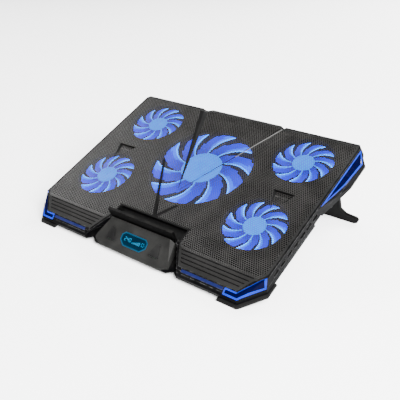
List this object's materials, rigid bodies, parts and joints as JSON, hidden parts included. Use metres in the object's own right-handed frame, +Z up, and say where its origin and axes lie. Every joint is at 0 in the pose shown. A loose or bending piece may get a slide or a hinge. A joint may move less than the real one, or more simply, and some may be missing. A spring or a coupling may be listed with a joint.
{
  "type": "laptop cooling pad",
  "caption": "Tilted laptop cooling pad: black mesh deck with a V-shaped trough over blue-lit fans, edge lights, a display pod, a flip-up laptop stop and fold-out rear legs.",
  "frame": {"origin": "on the table, under the middle of the part's footprint, with the legs open", "axes": "+X to the user's right, +Y away from the user, +Z up; the deck leans 22 degrees towards -Y"},
  "size_m": [0.395, 0.2702, 0.1208],
  "materials": {
    "cover_plastic": "fine moulded texture",
    "frame_plastic": "fine moulded texture",
    "deck_steel": "satin black paint on punched sheet",
    "light_edge": "lit, milky blue",
    "light_lens": "tinted blue, faintly lit",
    "strip_lens": "tinted blue, faintly lit",
    "circuit_board": "green solder mask",
    "led_chip": "white package",
    "pod_plastic": "fine spark texture",
    "display_edge": "lit, milky cyan",
    "display_window": "glossy tinted window over a lit display",
    "lcd_frame": "plain",
    "switch_plastic": "plain",
    "button_plastic": "smooth",
    "stop_plastic": "fine moulded texture",
    "black_rubber": "matt",
    "pin_steel": "turned",
    "leg_plastic": "fine moulded texture",
    "socket_steel": "stamped",
    "black_screw": "black oxide",
    "core_steel": "stacked sheets",
    "copper_winding": "enamelled copper wire",
    "bush_brass": "sintered",
    "blade_plastic": "clear blue, lit from the hub",
    "magnet": "bonded ferrite",
    "shaft_steel": "ground"
  },
  "bodies": {
    "base": {"bottom_cover": "cover_plastic", "top_frame": "frame_plastic", "mesh_deck": "deck_steel", "front_left_light_ring": "light_edge", "front_right_light_ring": "light_edge", "front_left_lens": "light_lens", "front_right_lens": "light_lens", "front_left_strip": "strip_lens", "front_right_strip": "strip_lens", "rear_left_light_ring": "light_edge", "rear_right_light_ring": "light_edge", "rear_left_lens": "light_lens", "rear_right_lens": "light_lens", "led_boards": "circuit_board", "led_chips": "led_chip", "pod_cover": "pod_plastic", "display_ring": "display_edge", "display_window": "display_window", "lcd_module": "lcd_frame", "control_board": "circuit_board", "tact_switches": "switch_plastic", "stop_pins": "pin_steel", "leg_pins": "pin_steel", "front_feet": "black_rubber", "rear_feet": "black_rubber", "usb_board": "circuit_board", "usb_sockets": "socket_steel", "cover_screws": "black_screw", "board_screws": "pin_steel", "stator_cores": "core_steel", "stator_coils": "copper_winding", "bearing_bushes": "bush_brass", "motor_boards": "circuit_board"},
    "left_button": {"left_button": "button_plastic"},
    "right_button": {"right_button": "button_plastic"},
    "laptop_stop": {"laptop_stop": "stop_plastic", "stop_cushion": "black_rubber"},
    "left_leg": {"left_leg": "leg_plastic", "left_leg_sole": "black_rubber"},
    "right_leg": {"right_leg": "leg_plastic", "right_leg_sole": "black_rubber"},
    "centre_fan": {"centre_impeller": "blade_plastic", "centre_magnet": "magnet", "centre_shaft": "shaft_steel"},
    "front_left_fan": {"front_left_impeller": "blade_plastic", "front_left_magnet": "magnet", "front_left_shaft": "shaft_steel"},
    "front_right_fan": {"front_right_impeller": "blade_plastic", "front_right_magnet": "magnet", "front_right_shaft": "shaft_steel"},
    "rear_left_fan": {"rear_left_impeller": "blade_plastic", "rear_left_magnet": "magnet", "rear_left_shaft": "shaft_steel"},
    "rear_right_fan": {"rear_right_impeller": "blade_plastic", "rear_right_magnet": "magnet", "rear_right_shaft": "shaft_steel"}
  },
  "joints": [
    {"name": "centre_fan_spin", "type": "hinge", "parent": "base", "child": "centre_fan", "pos_m": [0, 0.01863, 0.07146], "axis": [0, -0.3746, 0.9272], "continuous": true},
    {"name": "front_left_fan_spin", "type": "hinge", "parent": "base", "child": "front_left_fan", "pos_m": [-0.126, -0.03979, 0.04786], "axis": [0, -0.3746, 0.9272], "continuous": true},
    {"name": "front_right_fan_spin", "type": "hinge", "parent": "base", "child": "front_right_fan", "pos_m": [0.126, -0.03979, 0.04786], "axis": [0, -0.3746, 0.9272], "continuous": true},
    {"name": "rear_left_fan_spin", "type": "hinge", "parent": "base", "child": "rear_left_fan", "pos_m": [-0.126, 0.0724, 0.09318], "axis": [0, -0.3746, 0.9272], "continuous": true},
    {"name": "rear_right_fan_spin", "type": "hinge", "parent": "base", "child": "rear_right_fan", "pos_m": [0.126, 0.0724, 0.09318], "axis": [0, -0.3746, 0.9272], "continuous": true},
    {"name": "left_leg_fold", "type": "hinge", "parent": "base", "child": "left_leg", "pos_m": [-0.156, 0.09397, 0.09586], "axis": [1, 0, 0], "range_deg": [-90, 0]},
    {"name": "right_leg_fold", "type": "hinge", "parent": "base", "child": "right_leg", "pos_m": [0.156, 0.09397, 0.09586], "axis": [1, 0, 0], "range_deg": [-90, 0]},
    {"name": "laptop_stop_fold", "type": "hinge", "parent": "base", "child": "laptop_stop", "pos_m": [0, -0.10113, 0.03019], "axis": [1, 0, 0], "range_deg": [-90, 0]},
    {"name": "left_button_press", "type": "slide", "parent": "base", "child": "left_button", "axis": [0, -0.7581, 0.6521], "range_m": [-0.0007, 0], "stiffness_N_per_m": 400},
    {"name": "right_button_press", "type": "slide", "parent": "base", "child": "right_button", "axis": [0, -0.7581, 0.6521], "range_m": [-0.0007, 0], "stiffness_N_per_m": 400}
  ]
}
